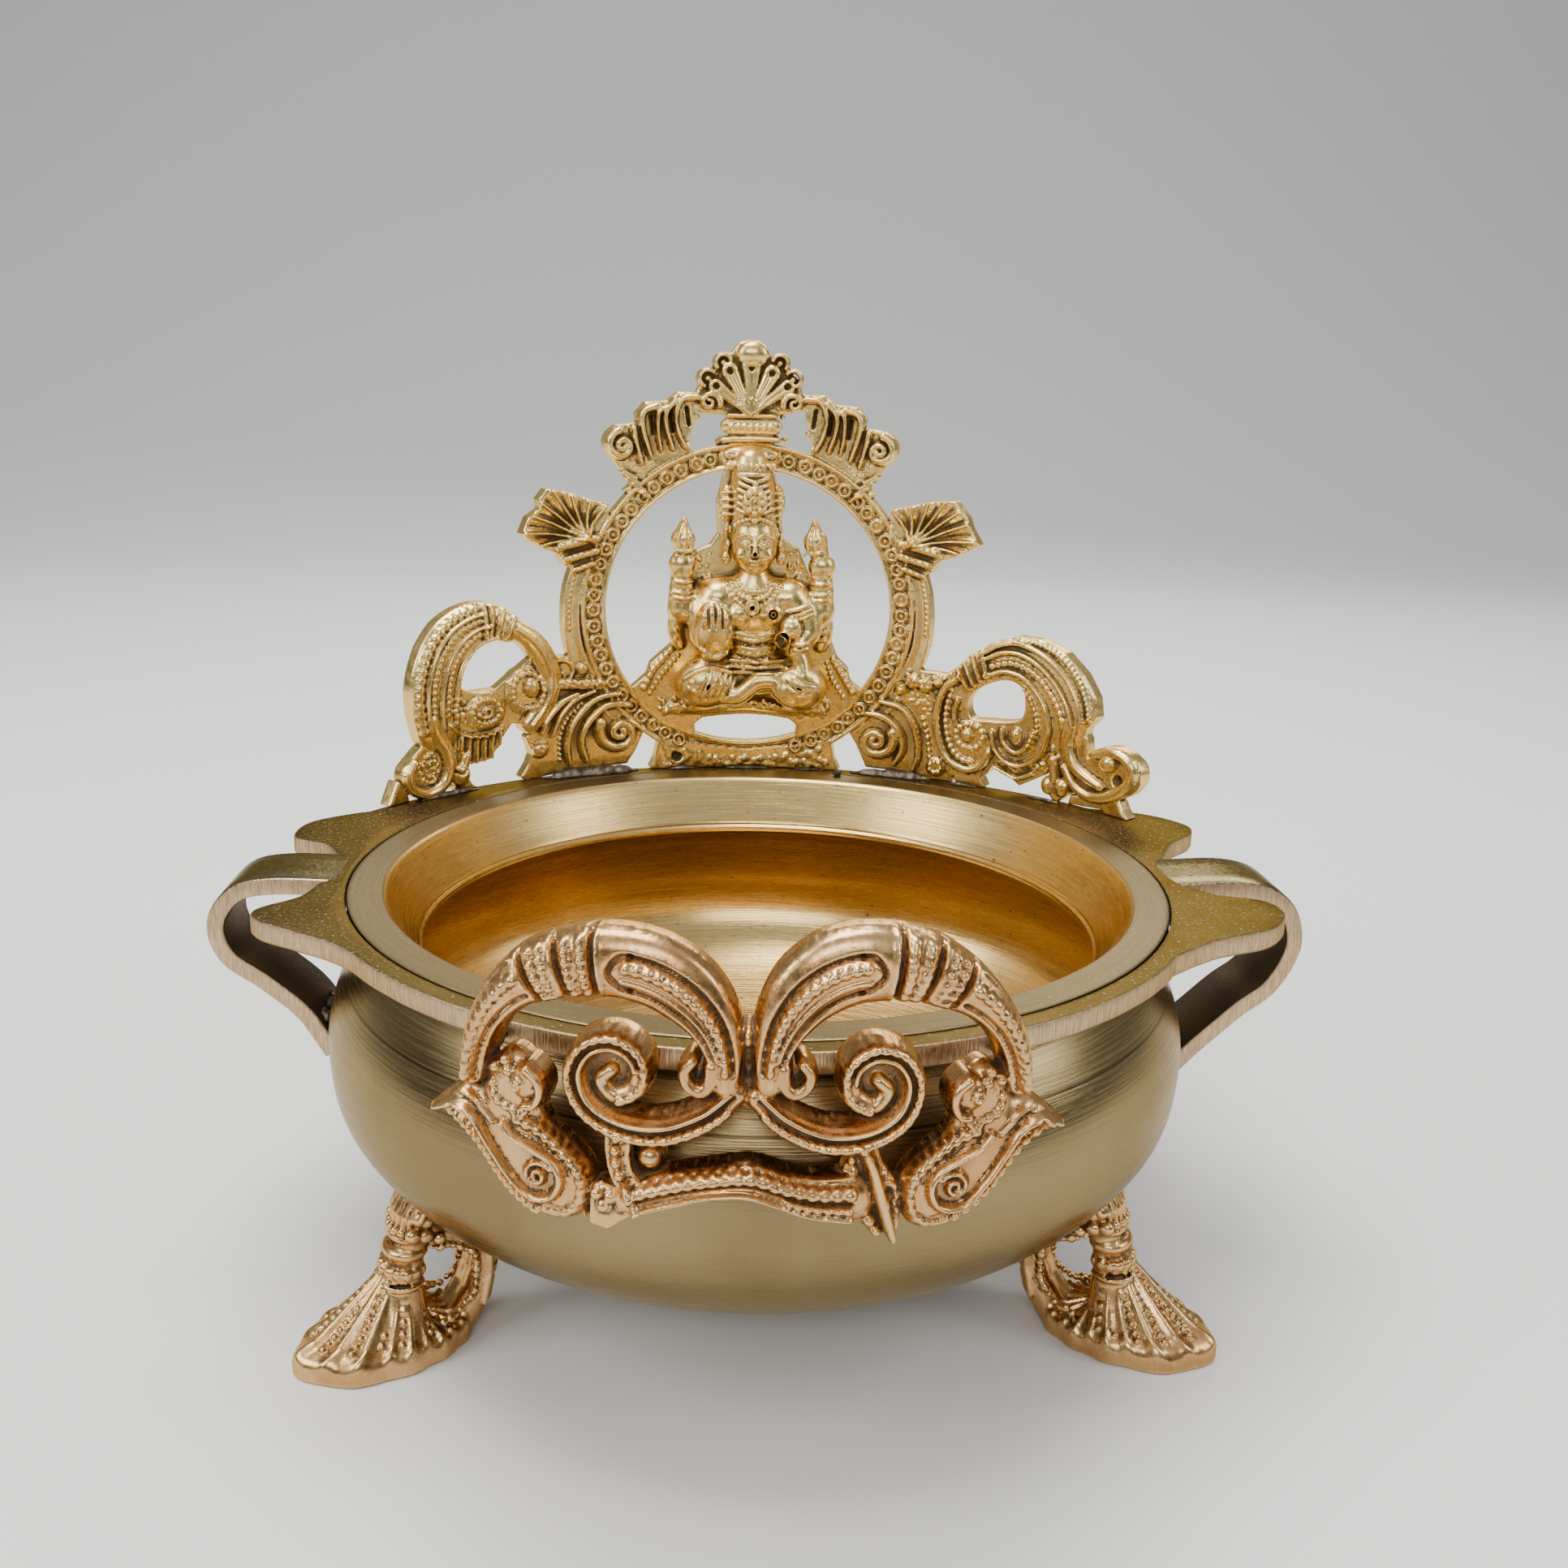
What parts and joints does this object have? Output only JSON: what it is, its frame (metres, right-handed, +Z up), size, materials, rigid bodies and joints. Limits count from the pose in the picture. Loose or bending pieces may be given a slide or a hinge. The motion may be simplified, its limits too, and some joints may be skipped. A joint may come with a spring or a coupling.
{
  "type": "footed brass bowl",
  "caption": "Low wide brass bowl on shell-toed feet, with strap handles, an open arch with a seated figure at the back and a scrolled twin-peacock ornament in front.",
  "frame": {"origin": "on the table, under the middle of the bowl", "axes": "+X towards the right strap handle, +Y towards the arch at the back, +Z up; the front ornament faces -Y"},
  "size_m": [0.2024, 0.1785, 0.1704],
  "materials": {
    "turned_brass": "satin, lathe turned",
    "sawn_brass": "matte top face, filed edges",
    "cast_gold_brass": "polished casting with dark recesses",
    "cast_rose_brass": "polished casting with dark recesses",
    "solder": "dull grey solder"
  },
  "bodies": {
    "root": {"bowl": "turned_brass", "rim_plate": "sawn_brass", "arch_frame": "cast_gold_brass", "seated_figure": "cast_gold_brass", "front_ornament": "cast_rose_brass", "foot_left": "cast_rose_brass", "foot_right": "cast_rose_brass", "foot_rear": "cast_rose_brass", "arch_solder": "solder", "ornament_solder": "solder", "handle_solder": "solder", "foot_solder": "solder"}
  },
  "joints": []
}
